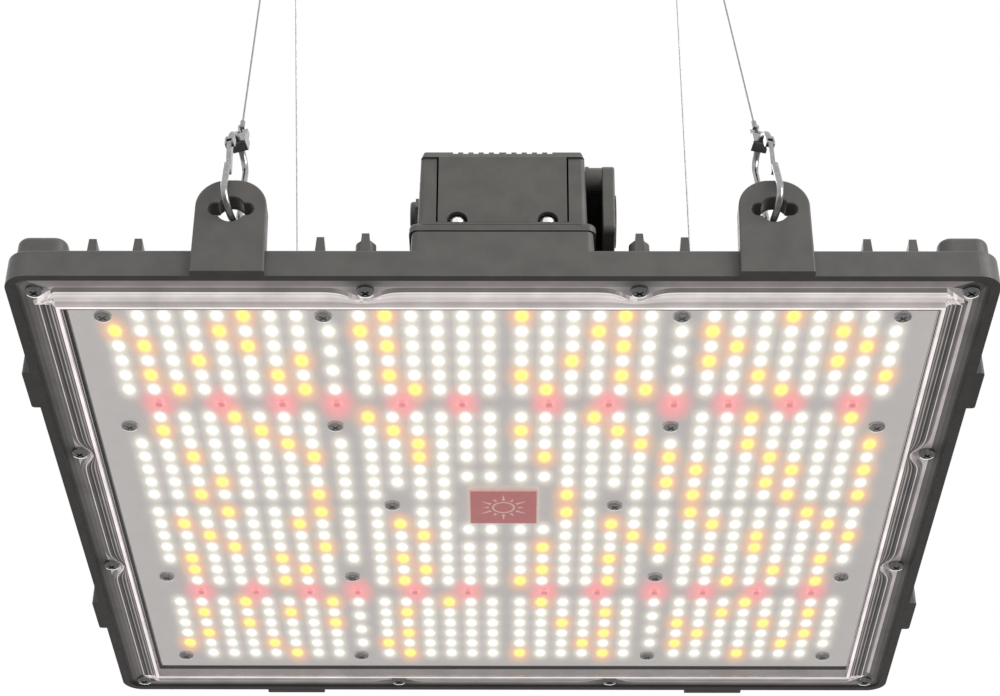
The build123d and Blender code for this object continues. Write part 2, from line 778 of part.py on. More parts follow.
for side in sides_x:
    flat = sling_plane(side)
    eyes, ferrules = [], []
    for name_y, side_y in sides_y.items():
        plane = hook_plane(side, side_y)
        finish(hook(plane), f"{side}_{name_y}_hook")
        finish(gate(plane), f"{side}_{name_y}_gate")
        # The cable's eyes: one through the hook's block, one through the link plate.
        hole = cable_hole(side, side_y)
        reach = (hole - plane.origin).length

        def along(distance):
            return plane.origin + plane.y_dir * distance

        upper_eye = reach - eye_radius
        eyes.append(wire_ring(along(eye_y), plane.z_dir))
        eyes.append(wire_ring(along(upper_eye), plane.y_dir.cross(flat.z_dir)))
        low_end = ferrule_low + ferrule_length
        high_end = upper_eye - eye_radius - eye_wire - ferrule_length
        for start in (ferrule_low, high_end):
            ends = along(start), along(start + ferrule_length)
            ferrules.append(straight_round(*ends, ferrule_radius))
        cable = straight_round(along(low_end), along(high_end), cable_diameter / 2)
        finish(cable, f"{side}_{name_y}_cable")
        print(side, name_y, "cable", round(high_end - low_end, 1), along(low_end), along(high_end))
    for group, label in ((eyes, "cable_eyes"), (ferrules, "ferrules")):
        with BuildPart() as joined:
            for piece in group:
                add(piece.part)
        finish(joined, f"{side}_{label}")

    # link plate, with the bore that the ceiling hanger's hook goes through
    with BuildPart() as link:
        with BuildSketch(flat.offset(-1.0)):
            Circle(8.5)
            with Locations((link_hole[0], link_hole[1]), (-link_hole[0], link_hole[1])):
                Circle(3.4)
            make_hull()
            Circle(5.0, mode=Mode.SUBTRACT)
            with Locations((link_hole[0], link_hole[1]), (-link_hole[0], link_hole[1])):
                Circle(1.0, mode=Mode.SUBTRACT)
        extrude(amount=2.0)
    finish(link, f"{side}_link_plate")
    print(side, "lean", round(degrees(lean(side)), 2), "apex", flat.origin)
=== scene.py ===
"""An LED grow light that hangs on two wire slings: its cables, lit board, cover, paint and steel."""

import json
from math import cos, pi, radians, sin

import bmesh
import bpy
import numpy as np
from mathutils import Matrix, Vector


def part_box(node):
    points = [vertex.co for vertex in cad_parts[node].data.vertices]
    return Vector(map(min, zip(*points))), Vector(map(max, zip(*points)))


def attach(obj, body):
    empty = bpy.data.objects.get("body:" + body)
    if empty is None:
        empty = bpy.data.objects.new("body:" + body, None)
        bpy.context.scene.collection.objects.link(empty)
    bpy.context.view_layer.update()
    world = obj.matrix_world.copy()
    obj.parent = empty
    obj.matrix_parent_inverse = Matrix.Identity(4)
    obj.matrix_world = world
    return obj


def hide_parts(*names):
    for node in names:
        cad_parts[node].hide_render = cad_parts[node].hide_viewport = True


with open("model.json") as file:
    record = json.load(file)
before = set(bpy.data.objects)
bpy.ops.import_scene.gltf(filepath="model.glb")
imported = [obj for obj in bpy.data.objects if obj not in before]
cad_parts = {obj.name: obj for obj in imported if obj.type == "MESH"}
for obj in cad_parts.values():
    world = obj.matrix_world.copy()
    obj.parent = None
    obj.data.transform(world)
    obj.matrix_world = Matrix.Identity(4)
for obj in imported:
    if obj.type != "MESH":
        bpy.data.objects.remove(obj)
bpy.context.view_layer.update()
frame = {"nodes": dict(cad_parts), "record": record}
nodes = frame["nodes"]
mm = 0.001
scene = bpy.context.scene
scene.view_settings.view_transform = "Standard"


# ---- camera ------------------------------------------------------------------------------
def aim(pitch, yaw, roll):
    """A camera's turn: pitch is above the horizon, yaw from +Y towards +X, roll clockwise."""
    forward = Vector((sin(yaw) * cos(pitch), cos(yaw) * cos(pitch), sin(pitch)))
    level = Vector((cos(yaw), -sin(yaw), 0))
    right = level * cos(roll) + level.cross(forward) * sin(roll)
    up = right.cross(forward)
    return Matrix((right, up, -forward)).transposed().to_4x4()


camera = bpy.data.objects.new("camera", bpy.data.cameras.new("camera"))
scene.collection.objects.link(camera)
camera.data.sensor_width = 36
camera.data.lens = 95.13
place = Matrix.Translation(Vector((3.31, -893.15, -473.74)) * mm)
camera.matrix_world = place @ aim(radians(31.488), radians(-0.312), radians(0.215))
camera.data.clip_start = 0.01
scene.camera = camera


# ---- materials ---------------------------------------------------------------------------
class Finish:
    """A Principled material, with short calls for what varies over its surface."""

    def __init__(self, name, colour, roughness, metallic=0.0, **sockets):
        self.material = bpy.data.materials.new(name)
        self.material.use_nodes = True
        self.nodes = self.material.node_tree.nodes
        self.links = self.material.node_tree.links
        self.shader = self.nodes["Principled BSDF"]
        self.colour = colour
        self.shader.inputs["Base Color"].default_value = (*colour, 1)
        self.shader.inputs["Roughness"].default_value = roughness
        self.shader.inputs["Metallic"].default_value = metallic
        for socket, value in sockets.items():
            self.shader.inputs[socket.replace("_", " ")].default_value = value

    def node(self, kind, **values):
        made = self.nodes.new(kind)
        for name, value in values.items():
            setattr(made, name, value)
        return made

    def coordinates(self, stretch=(1, 1, 1)):
        where = self.node("ShaderNodeTexCoord").outputs["Object"]
        if stretch == (1, 1, 1):
            return where
        mapping = self.node("ShaderNodeMapping")
        mapping.inputs["Scale"].default_value = stretch
        self.links.new(where, mapping.inputs["Vector"])
        return mapping.outputs["Vector"]

    def noise(self, size, detail=3, stretch=(1, 1, 1)):
        """Noise whose lumps are about that many metres across."""
        made = self.node("ShaderNodeTexNoise")
        made.inputs["Scale"].default_value = 1 / size
        made.inputs["Detail"].default_value = detail
        self.links.new(self.coordinates(stretch), made.inputs["Vector"])
        return made.outputs["Fac"]

    def spread(self, source, low, high):
        made = self.node("ShaderNodeMapRange")
        made.inputs["From Min"].default_value = 0.3
        made.inputs["From Max"].default_value = 0.7
        made.inputs["To Min"].default_value = low
        made.inputs["To Max"].default_value = high
        self.links.new(source, made.inputs["Value"])
        return made.outputs["Result"]

    def blend(self, source, first, second, low=0.35, high=0.65):
        """A colour between two, by source."""
        ramp = self.node("ShaderNodeValToRGB")
        ramp.color_ramp.elements[0].position = low
        ramp.color_ramp.elements[1].position = high
        ramp.color_ramp.elements[0].color = (*first, 1)
        ramp.color_ramp.elements[1].color = (*second, 1)
        self.links.new(source, ramp.inputs["Fac"])
        return ramp.outputs["Color"]

    def drive(self, socket, source):
        self.links.new(source, self.shader.inputs[socket])

    def mottle(self, size, amount):
        """The base colour drifts a little lighter and darker."""
        low = [c * (1 - amount) for c in self.colour]
        high = [c * (1 + amount) for c in self.colour]
        self.drive("Base Color", self.blend(self.noise(size), low, high))

    def worn(self, size, low, high):
        self.drive("Roughness", self.spread(self.noise(size), low, high))

    def grain(self, size, height, detail=2, stretch=(1, 1, 1)):
        """A fine bump, with lumps of that size and height in metres."""
        bump = self.node("ShaderNodeBump")
        bump.inputs["Distance"].default_value = height
        bump.inputs["Strength"].default_value = 1
        self.links.new(self.noise(size, detail, stretch), bump.inputs["Height"])
        self.drive("Normal", bump.outputs["Normal"])


def grey(value, warm=0.0):
    return (value * (1 + warm), value, value * (1 - warm))


def powder_coat():
    made = Finish("gunmetal_powder_coat", grey(0.090, 0.075), 0.42)
    made.mottle(9 * mm, 0.10)
    made.worn(3 * mm, 0.36, 0.50)
    made.grain(0.35 * mm, 0.010 * mm)
    return made.material


def dark_powder_coat():
    made = Finish("driver_powder_coat", grey(0.090, 0.08), 0.40)
    made.mottle(7 * mm, 0.10)
    made.worn(2.5 * mm, 0.34, 0.48)
    made.grain(0.35 * mm, 0.010 * mm)
    return made.material


def black_plastic():
    made = Finish("moulded_black_plastic", grey(0.018), 0.5)
    made.mottle(2 * mm, 0.2)
    made.worn(1 * mm, 0.42, 0.58)
    made.grain(0.25 * mm, 0.012 * mm)
    return made.material


def polished_steel(name, value, roughness):
    made = Finish(name, grey(value), roughness, 1.0)
    made.mottle(1.5 * mm, 0.12)
    made.worn(0.8 * mm, roughness * 0.7, roughness * 1.4)
    made.grain(0.3 * mm, 0.004 * mm, stretch=(1, 1, 0.2))
    return made.material


def plain(name, colour, roughness, size, amount=0.08, metallic=0.0, grain=0.0, lit_by=None):
    made = Finish(name, colour, roughness, metallic)
    # lit_by paints light: an emission colour on a surface that is no lamp.
    if lit_by:
        made.shader.inputs["Emission Color"].default_value = (*lit_by, 1)
        made.shader.inputs["Emission Strength"].default_value = 1
    made.mottle(size, amount)
    made.worn(size * 0.6, roughness * 0.85, roughness * 1.15)
    if grain:
        made.grain(size * 0.2, grain)
    return made.material


def clear_polycarbonate():
    made = Finish(
        "clear_polycarbonate", (0.96, 0.96, 0.96), 0.02, Transmission_Weight=1.0, IOR=1.3
    )
    made.worn(12 * mm, 0.0, 0.03)
    return made.material


finishes = {  # named after the record's material slots, apart from a few for single nodes
    "gunmetal_paint": powder_coat(),
    "driver_paint": dark_powder_coat(),
    "black_plastic": black_plastic(),
    "screw_steel": polished_steel("plated_screw_steel", 0.34, 0.16),
    "hook_steel": polished_steel("polished_hook_steel", 0.34, 0.18),
    "cable_steel": polished_steel("cable_steel", 0.30, 0.30),
    # the rear cables' steel is a lighter copy of the cable steel: painted light on them
    "bright_cable": polished_steel("cable_steel_painted_lighter", 0.60, 0.40),
    # the rail screws' steel is painted near white: a painted highlight for the glint of the light on
    # them
    "glint_painted_screws": polished_steel("rail_screw_steel_painted_glint", 0.92, 0.40),
    # the board screws' steel is rougher, and painted lighter than the other screw steel for the LED
    # light on them
    "board_screws": polished_steel("dull_board_screw_steel_painted_lighter", 0.55, 0.34),
    "thermal_pad": plain("thermal_pad_silicone", (0.55, 0.60, 0.66), 0.7, 4 * mm),
    "led_board": plain("white_solder_mask", grey(0.72), 0.4, 8 * mm, 0.03),
    # the badge's acrylic carries a painted glow: an emission colour, though it is no lamp
    "badge_red": plain(
        "pale_badge_acrylic_painted_glow", (0.62, 0.47, 0.42), 0.3, 3 * mm, lit_by=(0.42, 0.30, 0.25)
    ),
    "gasket_rubber": plain("grey_silicone", grey(0.10, 0.05), 0.6, 3 * mm, 0.1, grain=0.01 * mm),
    "clear_cover": clear_polycarbonate(),
    "circuit_board": plain("green_solder_mask", (0.02, 0.14, 0.05), 0.35, 5 * mm, 0.15),
    "transformer": plain("transformer_tape", (0.60, 0.42, 0.05), 0.45, 2 * mm, 0.15),
    "capacitor": plain("capacitor_sleeve", (0.02, 0.025, 0.06), 0.3, 2 * mm, 0.15),
}


def dress(piece, finish):
    """Gives a piece one material on every face."""
    piece.data.materials.clear()
    piece.data.materials.append(finish)


def piece_from(name, mesh, finish, body="light"):
    made = bpy.data.objects.new(name, mesh)
    scene.collection.objects.link(made)
    dress(made, finish)
    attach(made, body)
    return made


# ---- cables ------------------------------------------------------------------------------
cable_diameter = 0.7 * mm


def cable_ends(name, place_y):
    """The middles of a straight CAD cable's lower and upper end, worked out from its box."""
    low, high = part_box(name)
    slope = (high - low).normalized()
    inset = Vector([cable_diameter / 2 * (1 - part ** 2) ** 0.5 for part in slope])
    low, high = low + inset, high - inset
    outer, inner = (low.y, high.y) if place_y == "front" else (high.y, low.y)
    # As they rise, all the cables lean towards -X and in towards the middle of Y.
    return Vector((high.x, outer, low.z)), Vector((low.x, inner, high.z))


def cable(side, place_y):
    """One wire rope, pulled straight between its two ferrules."""
    near, far = cable_ends(f"{side}_{place_y}_cable", place_y)
    along = (far - near).normalized() * 6 * cable_diameter
    curve = bpy.data.curves.new(f"{side}_{place_y}_wire_rope", "CURVE")
    curve.dimensions = "3D"
    curve.bevel_depth = cable_diameter / 2
    curve.bevel_resolution = 3
    curve.use_fill_caps = True
    spline = curve.splines.new("NURBS")
    route = [near, near + along, far - along, far]
    spline.points.add(len(route) - 1)
    for point, at in zip(spline.points, route):
        point.co = (*at, 1)
    spline.order_u = 3
    spline.use_endpoint_u = True
    # The rear cables take the lighter copy of the steel, with painted light in its colour.
    finish = finishes["cable_steel" if place_y == "front" else "bright_cable"]
    made = piece_from(curve.name, curve, finish, f"{side}_sling")
    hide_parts(f"{side}_{place_y}_cable")
    pieces = [f"{side}_{place_y}_hook", f"{side}_{place_y}_gate"]
    if place_y == "front":
        pieces += [f"{side}_cable_eyes", f"{side}_ferrules", f"{side}_link_plate"]


for side in ("left", "right"):
    cable(side, "front")
    cable(side, "rear")


# ---- CAD nodes ---------------------------------------------------------------------------
slot_of = {part["node"]: part["material_slot"] for part in frame["record"]["subparts"]}
# The rail screws get the steel with the painted highlight, and the board screws get the steel painted
# lighter.
own_finish = {"rail_screws": "glint_painted_screws", "board_screws": "board_screws"}
for name in (
    "driver_housing", "driver_cover", "dimmer_neck", "dimmer_inner_shell", "dimmer_outer_shell",
    "gland_body", "gland_cap",
):
    own_finish[name] = "driver_paint"
for name, node in nodes.items():
    slot = own_finish.get(name, slot_of.get(name))
    if slot in finishes:
        dress(node, finishes[slot])


# ---- LED board ---------------------------------------------------------------------------
# LED and screw places are in mm from the middle of the panel.
board_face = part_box("led_board")[0].z
board_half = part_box("led_board")[1].x
package_side = 3.0 * mm
package_height = 0.8 * mm
package_cut = 0.35 * mm
mask_thickness = 0.06 * mm
glow_stretch = 1.8  # the bright disc on an LED, its own light with painted glare round it, is longer from front to rear than across
halo_stretch = 1.89  # and so is the soft glow round it
led_shift = (0.9, -0.45)  # the LED field is not quite centred on the board
screw_column = 60.5
screw_clearance = 8.0
columns = [5.65 + 8.8 * i for i in range(6)] + [screw_column] + [71.0 + 8.95 * i for i in range(8)]
columns = sorted([-x for x in columns] + columns)
rows = [7.1 + 9.8 * i for i in range(14)]
red_row = rows.pop(7)
rows = sorted([-y for y in rows] + rows)
outer_rows = [85.5 + 13 * i for i in range(4)]  # of the LEDs that stand between the board's screws
badge_row = 21.4
red_columns = [15.5, 37.0, 60.3, 79.8, 101.7, 124.0]
warm_columns = (  # listed front row first: the columns of its warm LEDs, counted from the left
    (0, 5, 10, 15, 19, 25), (0, 4, 9, 18, 22, 27), (1, 5, 10, 19, 23, 28), (3, 7, 17, 22, 27),
    (1, 6, 10, 15, 19, 24, 29), (2, 7, 11, 16, 20, 25), (4, 9, 18, 24, 28), (1, 5, 10, 15, 19),
    (6, 11, 20, 24, 29), (2, 7, 11, 16, 21, 25), (22, 26, 29), (3, 21, 25), (2, 7, 17, 22, 26, 29),
    (3, 7, 17, 22, 27), (1, 6, 10, 19, 23, 28), (2, 11, 20, 25, 29), (3, 7, 16, 21, 25),
    (1, 5, 10, 19, 23, 28), (1, 6, 11, 16, 26), (5, 10, 15, 19, 24, 28), (3, 7, 12, 16, 21, 25),
    (1, 5, 10, 19, 24, 28), (3, 7, 17, 22, 26), (1, 10, 19, 23, 28), (0, 4, 9, 18, 22, 27),
    (5, 10, 15, 19, 25),
)
screws = [(i * 135.5, j * y) for i in (-1, 1) for j in (-1, 1) for y in (135.5, 60.8)]
screws += [(i * 60.8, j * y) for i in (-1, 1) for j in (-1, 1) for y in (135.5, 60.8)]
screws += [(-42.5, 0), (42.5, 0)]


def led_layout():
    """Every LED's (x, y) in mm, by colour."""
    found = {"white": [], "warm": [], "red": []}
    for row, y in enumerate(rows):
        for column, x in enumerate(columns):
            by_screw = any(np.hypot(x - a, y - b) < screw_clearance for a, b in screws)
            outer_gap = abs(x) == screw_column and abs(y) > red_row
            by_badge = abs(x) < 15 and abs(y) < 30
            if by_screw or outer_gap or by_badge:
                continue
            found["warm" if column in warm_columns[row] else "white"].append((x, y))
    for i in (-1, 1):
        for j in (-1, 1):
            found["white"] += [(i * screw_column, j * y) for y in outer_rows]
            found["white"] += [(i * x, j * badge_row) for x in columns[15:17]]
            found["red"] += [(i * x, j * red_row) for x in red_columns]
    for kind, places in found.items():
        found[kind] = [(x + led_shift[0], y + led_shift[1]) for x, y in places]
    return found


leds = led_layout()
led_core = {"white": (1.0, 1.0, 0.95), "warm": (1.0, 1.0, 0.10), "red": (0.60, 0.12, 0.14)}
led_ring = {"white": (1.0, 1.0, 0.90), "warm": (1.0, 0.92, 0.26), "red": (1.0, 0.30, 0.31)}
led_halo = {"white": (0.92, 0.86, 0.72), "warm": (1.0, 0.50, 0.24), "red": (0.98, 0.26, 0.27)}
led_size = {"white": 1.0, "warm": 1.15, "red": 1.0}
halo_weight = {"white": 3.4, "warm": 6.0, "red": 7.0}
halo_reach = {"white": 1.6, "warm": 2.1, "red": 2.6}  # mm
board_glow = (0.36, 0.335, 0.325)


def halo_at(points):
    """The soft glow of all the LEDs on the board, at an array of points in mm."""
    total = np.ones((len(points), 1))
    colour = np.tile(np.array(board_glow), (len(points), 1))
    for kind, places in leds.items():
        for x, y in places:
            away = np.hypot(points[:, 0] - x, (points[:, 1] - y) / halo_stretch)
            near = away < 5 * halo_reach[kind]
            weight = halo_weight[kind] * np.exp(-0.5 * (away[near] / halo_reach[kind]) ** 2)[:, None]
            total[near] += weight
            colour[near] += weight * np.array(led_halo[kind])
    return colour / total


all_leds = [(x, y, kind) for kind, places in leds.items() for x, y in places]
led_places = np.array([(x, y) for x, y, _ in all_leds])


def paint_glow(mesh):
    """Writes on each face which LED lights it, and on each point the soft glow."""
    points = np.array([v.co for v in mesh.vertices])[:, :2] / mm
    middles = np.array([f.center for f in mesh.polygons])[:, :2] / mm
    halo = mesh.attributes.new("halo", "FLOAT_COLOR", "POINT")
    soft = np.hstack([halo_at(points), np.ones((len(points), 1))])
    halo.data.foreach_set("color", soft.astype(np.float32).ravel())
    squeezed = np.array([1.0, 1.0 / glow_stretch])
    away = ((middles[:, None] - led_places[None]) * squeezed) ** 2
    nearest = away.sum(axis=2).argmin(axis=1)
    at = mesh.attributes.new("led_at", "FLOAT_VECTOR", "FACE")
    places = np.hstack([led_places[nearest] * mm, np.zeros((len(middles), 1))])
    at.data.foreach_set("vector", places.astype(np.float32).ravel())
    sizes = np.array([led_size[kind] for _, _, kind in all_leds], dtype=np.float32)
    size = mesh.attributes.new("led_size", "FLOAT", "FACE")
    size.data.foreach_set("value", sizes[nearest])
    for name, table in (("led_core", led_core), ("led_ring", led_ring)):
        colours = np.array([(*table[all_leds[i][2]], 1.0) for i in nearest])
        attribute = mesh.attributes.new(name, "FLOAT_COLOR", "FACE")
        attribute.data.foreach_set("color", colours.astype(np.float32).ravel())


def lit(name, colour, roughness):
    """A finish that glows round the LEDs: a bright disc on each, and a soft glow between them."""
    made = Finish(name, colour, roughness)
    made.mottle(8 * mm, 0.03)
    attribute = {}
    for key in ("led_at", "led_size", "led_core", "led_ring", "halo"):
        attribute[key] = made.node("ShaderNodeAttribute", attribute_name=key)
    offset = made.node("ShaderNodeVectorMath", operation="SUBTRACT")
    made.links.new(made.coordinates(), offset.inputs[0])
    made.links.new(attribute["led_at"].outputs["Vector"], offset.inputs[1])
    flat = made.node("ShaderNodeVectorMath", operation="MULTIPLY")
    made.links.new(offset.outputs["Vector"], flat.inputs[0])
    flat.inputs[1].default_value = (1, 1 / glow_stretch, 0)
    length = made.node("ShaderNodeVectorMath", operation="LENGTH")
    made.links.new(flat.outputs["Vector"], length.inputs[0])
    reach = made.node("ShaderNodeMath", operation="DIVIDE")
    made.links.new(length.outputs["Value"], reach.inputs[0])
    made.links.new(attribute["led_size"].outputs["Fac"], reach.inputs[1])

    def step(low, high):
        """Rises smoothly from 0 to 1 between those distances from the LED."""
        smooth = made.node("ShaderNodeMapRange", interpolation_type="SMOOTHSTEP")
        smooth.inputs["From Min"].default_value = low
        smooth.inputs["From Max"].default_value = high
        made.links.new(reach.outputs["Value"], smooth.inputs["Value"])
        return smooth.outputs["Result"]

    def mix(factor, first, second):
        both = made.node("ShaderNodeMix", data_type="RGBA")
        made.links.new(factor, both.inputs["Factor"])
        made.links.new(first, both.inputs["A"])
        made.links.new(second, both.inputs["B"])
        return both.outputs["Result"]

    disc = mix(
        step(0.5 * mm, 2.2 * mm), attribute["led_core"].outputs["Color"],
        attribute["led_ring"].outputs["Color"],
    )
    glow = mix(step(1.2 * mm, 2.9 * mm), disc, attribute["halo"].outputs["Color"])
    made.drive("Emission Color", glow)
    made.shader.inputs["Emission Strength"].default_value = 1.0
    return made.material


def fine_sheet(half, z_low, z_high, pitch):
    """A thin closed square sheet whose lower face is a fine grid."""
    count = round(2 * half / pitch)
    ticks = np.linspace(-half, half, count + 1)
    bm = bmesh.new()
    low = [[bm.verts.new((x, y, z_low)) for x in ticks] for y in ticks]
    for j in range(count):
        for i in range(count):
            bm.faces.new((low[j][i], low[j + 1][i], low[j + 1][i + 1], low[j][i + 1]))
    edge = [low[0][i] for i in range(count)] + [low[j][count] for j in range(count)]
    edge += [low[count][i] for i in range(count, 0, -1)] + [low[j][0] for j in range(count, 0, -1)]
    top = [bm.verts.new((v.co.x, v.co.y, z_high)) for v in edge]
    for i, v in enumerate(edge):
        after = (i + 1) % len(edge)
        bm.faces.new((v, edge[after], top[after], top[i]))
    bm.faces.new(top)
    bmesh.ops.recalc_face_normals(bm, faces=bm.faces[:])
    return mesh_of("sheet", bm)


def mesh_of(name, bm):
    mesh = bpy.data.meshes.new(name)
    bm.to_mesh(mesh)
    bm.free()
    return mesh


def octagon(half, cut):
    """A square's outline with its corners cut off."""
    rest = half - cut
    return [
        (-half, -rest), (-rest, -half), (rest, -half), (half, -rest),
        (half, rest), (rest, half), (-rest, half), (-half, rest),
    ]


def package_mesh(name, places):
    """LED packages: bevelled square bodies, each with a round emitter that stands a little proud."""
    bm = bmesh.new()
    half = package_side / 2
    low = board_face - package_height
    for x, y in places:
        middle = Vector((x * mm, y * mm, 0))
        rings = []
        for inset, z in ((0, board_face), (0, low + 0.25 * mm), (0.2 * mm, low + 0.02 * mm)):
            outline = octagon(half - inset, package_cut)
            rings.append([bm.verts.new(middle + Vector((a, b, z))) for a, b in outline])
        for radius, z in ((1.15 * mm, low + 0.02 * mm), (1.0 * mm, low - 0.10 * mm)):
            turns = [(i + 0.5) * pi / 4 - pi for i in range(8)]
            circle = [(radius * cos(turn), radius * sin(turn), z) for turn in turns]
            rings.append([bm.verts.new(middle + Vector(at)) for at in circle])
        for first, second in zip(rings, rings[1:]):
            for i in range(8):
                after = (i + 1) % 8
                bm.faces.new((first[i], first[after], second[after], second[i]))
        bm.faces.new(rings[-1])
        bm.faces.new(list(reversed(rings[0])))
    bmesh.ops.recalc_face_normals(bm, faces=bm.faces[:])
    return mesh_of(name, bm)


mask_material = lit("lit_solder_mask", grey(0.70), 0.4)
package_material = lit("lit_led_package", grey(0.75), 0.3)
mask = fine_sheet(board_half - 0.5 * mm, board_face - mask_thickness, board_face, 1.6 * mm)
paint_glow(mask)
piece_from("board_solder_mask", mask, mask_material)
for kind, places in leds.items():
    mesh = package_mesh(f"{kind}_led_packages", places)
    paint_glow(mesh)
    slot = "red_led" if kind == "red" else "led_board"
    made = piece_from(mesh.name, mesh, package_material)
    if kind == "red":
        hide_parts("red_leds")


# ---- badge -------------------------------------------------------------------------------
def plate(name, outline, z_low, z_high, holes=()):
    """A flat plate with that outline, and with one hole of as many points if given."""
    bm = bmesh.new()
    loops = [outline, *holes]
    walls = []
    for loop in loops:
        low = [bm.verts.new((x, y, z_low)) for x, y in loop]
        high = [bm.verts.new((x, y, z_high)) for x, y in loop]
        walls.append((low, high))
        for i in range(len(loop)):
            after = (i + 1) % len(loop)
            bm.faces.new((low[i], low[after], high[after], high[i]))
    if holes:
        for level in (0, 1):
            outer, inner = walls[0][level], walls[1][level]
            for i in range(len(outer)):
                after = (i + 1) % len(outer)
                bm.faces.new((outer[i], outer[after], inner[after], inner[i]))
    else:
        bm.faces.new(walls[0][0])
        bm.faces.new(walls[0][1])
    bmesh.ops.recalc_face_normals(bm, faces=bm.faces[:])
    return mesh_of(name, bm)


badge_low, badge_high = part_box("centre_badge")
badge_half = badge_high.x
face_half = (badge_half - 0.7 * mm, badge_high.y - 0.7 * mm)
corners = ((-1, -1), (1, -1), (1, 1), (-1, 1))
outline = [(i * face_half[0], j * face_half[1]) for i, j in corners]
badge_z = badge_low.z
# The badge's red and pale print carry a painted glow too: an emission colour, though they are no
# lamp.
badge_red = plain(
    "printed_badge_red_painted_glow", (0.42, 0.13, 0.13), 0.35, 3 * mm, 0.08, lit_by=(0.36, 0.12, 0.12)
)
red_face = plate("badge_face", outline, badge_z - 0.06 * mm, badge_z)
piece_from("badge_face", red_face, badge_red)
glowing_pale_print = plain(
    "printed_badge_pale_painted_glow", (0.62, 0.42, 0.40), 0.4, 2 * mm, 0.05, lit_by=(0.5, 0.34, 0.33)
)


def circle_points(radius, count=48):
    turns = [2 * pi * i / count for i in range(count)]
    return [(radius * cos(turn), radius * sin(turn)) for turn in turns]


print_z = (badge_z - 0.10 * mm, badge_z - 0.05 * mm)
ring = plate("badge_ring", circle_points(4.4 * mm), *print_z, holes=[circle_points(3.7 * mm)])
piece_from("badge_ring", ring, glowing_pale_print)
for i in range(12):
    turn = 2 * pi * i / 12
    tip = 9.6 * mm if i % 2 else 7.6 * mm
    outline = [(5.6 * mm, -0.55 * mm), (tip, -0.12 * mm), (tip, 0.12 * mm), (5.6 * mm, 0.55 * mm)]
    turned = [(x * cos(turn) - y * sin(turn), x * sin(turn) + y * cos(turn)) for x, y in outline]
    ray = plate(f"badge_ray_{i + 1}", turned, *print_z)
    piece_from(ray.name, ray, glowing_pale_print)


# ---- cover -------------------------------------------------------------------------------
# From the flange's edge in to the window, as (distance from the middle, z) in mm.
cover_profile = (
    (161.5, 1.0), (160.4, 1.0), (158.6, 0.85), (156.9, 1.0), (156.4, 1.0), (155.7, -0.45),
    (155.2, -0.6), (154.3, -0.6), (153.9, -0.75), (153.0, -0.6), (152.2, -0.6), (151.8, -0.75),
    (150.9, -0.6), (150.3, -0.75), (149.9, -0.6), (149.2, -1.2), (148.6, -1.9), (147.4, -1.9),
)
# How bright each step of that profile is, given for each side of the cover.
front_tones = (
    0.38, 0.47, 0.49, 0.62, 0.42, 0.93, 0.80, 0.88, 0.84,
    0.80, 0.78, 0.78, 0.78, 0.60, 0.66, 0.70, 1.0,
)
side_tones = (
    0.20, 0.30, 0.36, 0.70, 0.30, 0.42, 0.36, 0.80, 0.32,
    0.22, 0.58, 0.28, 0.60, 0.30, 0.52, 0.32, 0.97,
)
rear_tones = (
    0.35, 0.45, 0.42, 0.60, 0.45, 0.60, 0.55, 0.85, 0.50,
    0.60, 0.70, 0.60, 0.90, 0.60, 0.80, 0.60, 0.97,
)
inner_tone = 0.55
flange_line = 156.4
window_line = 147.4
foot_line = 148.5  # where the border's corners stop being cut off
corner_cut = 8.3
dip_slope = 0.73  # the ridge dips in beside each cover screw
dip_reach = 6.0
cover_top = 2.7
cover_shift = -0.7  # the window is not quite centred in the rim
screw_mid = 45.5
side_steps = 240
corner_steps = 6


def cover_line(distance, z, rng):
    """A side and a corner of one line round the border: x, y, z, nearness to a screw, if a corner."""
    inside = min(max((distance - foot_line) / (flange_line - foot_line), 0), 1)
    ridge = window_line < distance <= flange_line
    beyond = max(distance - flange_line, 0)
    cut = corner_cut * inside - beyond
    dip = dip_slope * (distance - foot_line) * (foot_line < distance <= flange_line)
    side = []
    for i in range(side_steps + 1):
        x = (distance - cut) * (2 * i / side_steps - 1)
        near = np.exp(-(((abs(x) - screw_mid) / dip_reach) ** 2))
        side.append((x, distance - dip * near, z, near, 0))
    for i in range(1, corner_steps):
        along = i / corner_steps
        bulge = 0.0 if ridge else 0.18 * cut * sin(pi * along)
        rough = 0.35 * ridge * inside
        jog = rng.uniform(-1, 1, 3) * rough
        x = distance - cut + cut * along + bulge + jog[0]
        y = distance - cut * along + bulge + jog[1]
        side.append((x, y, z + jog[2], 0, 1))
    return side


def cover_border():
    """The cover's stepped border, with a tone on each face for how much LED light it carries."""
    rng = np.random.default_rng(7)
    bm = bmesh.new()
    tone = bm.faces.layers.float.new("tone")
    loops = []
    for distance, z in (*cover_profile, (window_line, cover_top), (161.5, cover_top)):
        loop = []
        for turn in range(4):
            c, s = ((1, 0), (0, 1), (-1, 0), (0, -1))[turn]
            for x, y, level, near, corner in cover_line(distance, z, rng):
                a, b = c * x + s * y, c * y - s * x
                shift = cover_shift if distance <= flange_line else 0
                v = bm.verts.new(((a + shift) * mm, b * mm, level * mm))
                loop.append((v, turn, near, corner))
        loops.append(loop)
    by_side = (rear_tones, side_tones, front_tones, side_tones)
    for i, first in enumerate(loops):
        second = loops[(i + 1) % len(loops)]
        for j, (v, turn, near, corner) in enumerate(first):
            after = (j + 1) % len(first)
            face = bm.faces.new((v, second[j][0], second[after][0], first[after][0]))
            value = by_side[turn][i] if i < len(by_side[turn]) else inner_tone
            # Painted light: the corner facets of the ridges get random bright tones, the flange is
            # painted darker at its corners and beside the screws, and the ridges beside the screws
            # get painted glints.
            if corner and 4 <= i < 16:
                value = rng.uniform(0.62, 0.98)
            elif i < 4:
                value *= 0.75 if corner else 1 - 0.35 * near
            elif i < 9:
                value = value + (rng.uniform(0.6, 1.0) - value) * near * 0.8
            face[tone] = value
    bmesh.ops.recalc_face_normals(bm, faces=bm.faces[:])
    return mesh_of("cover_border", bm)


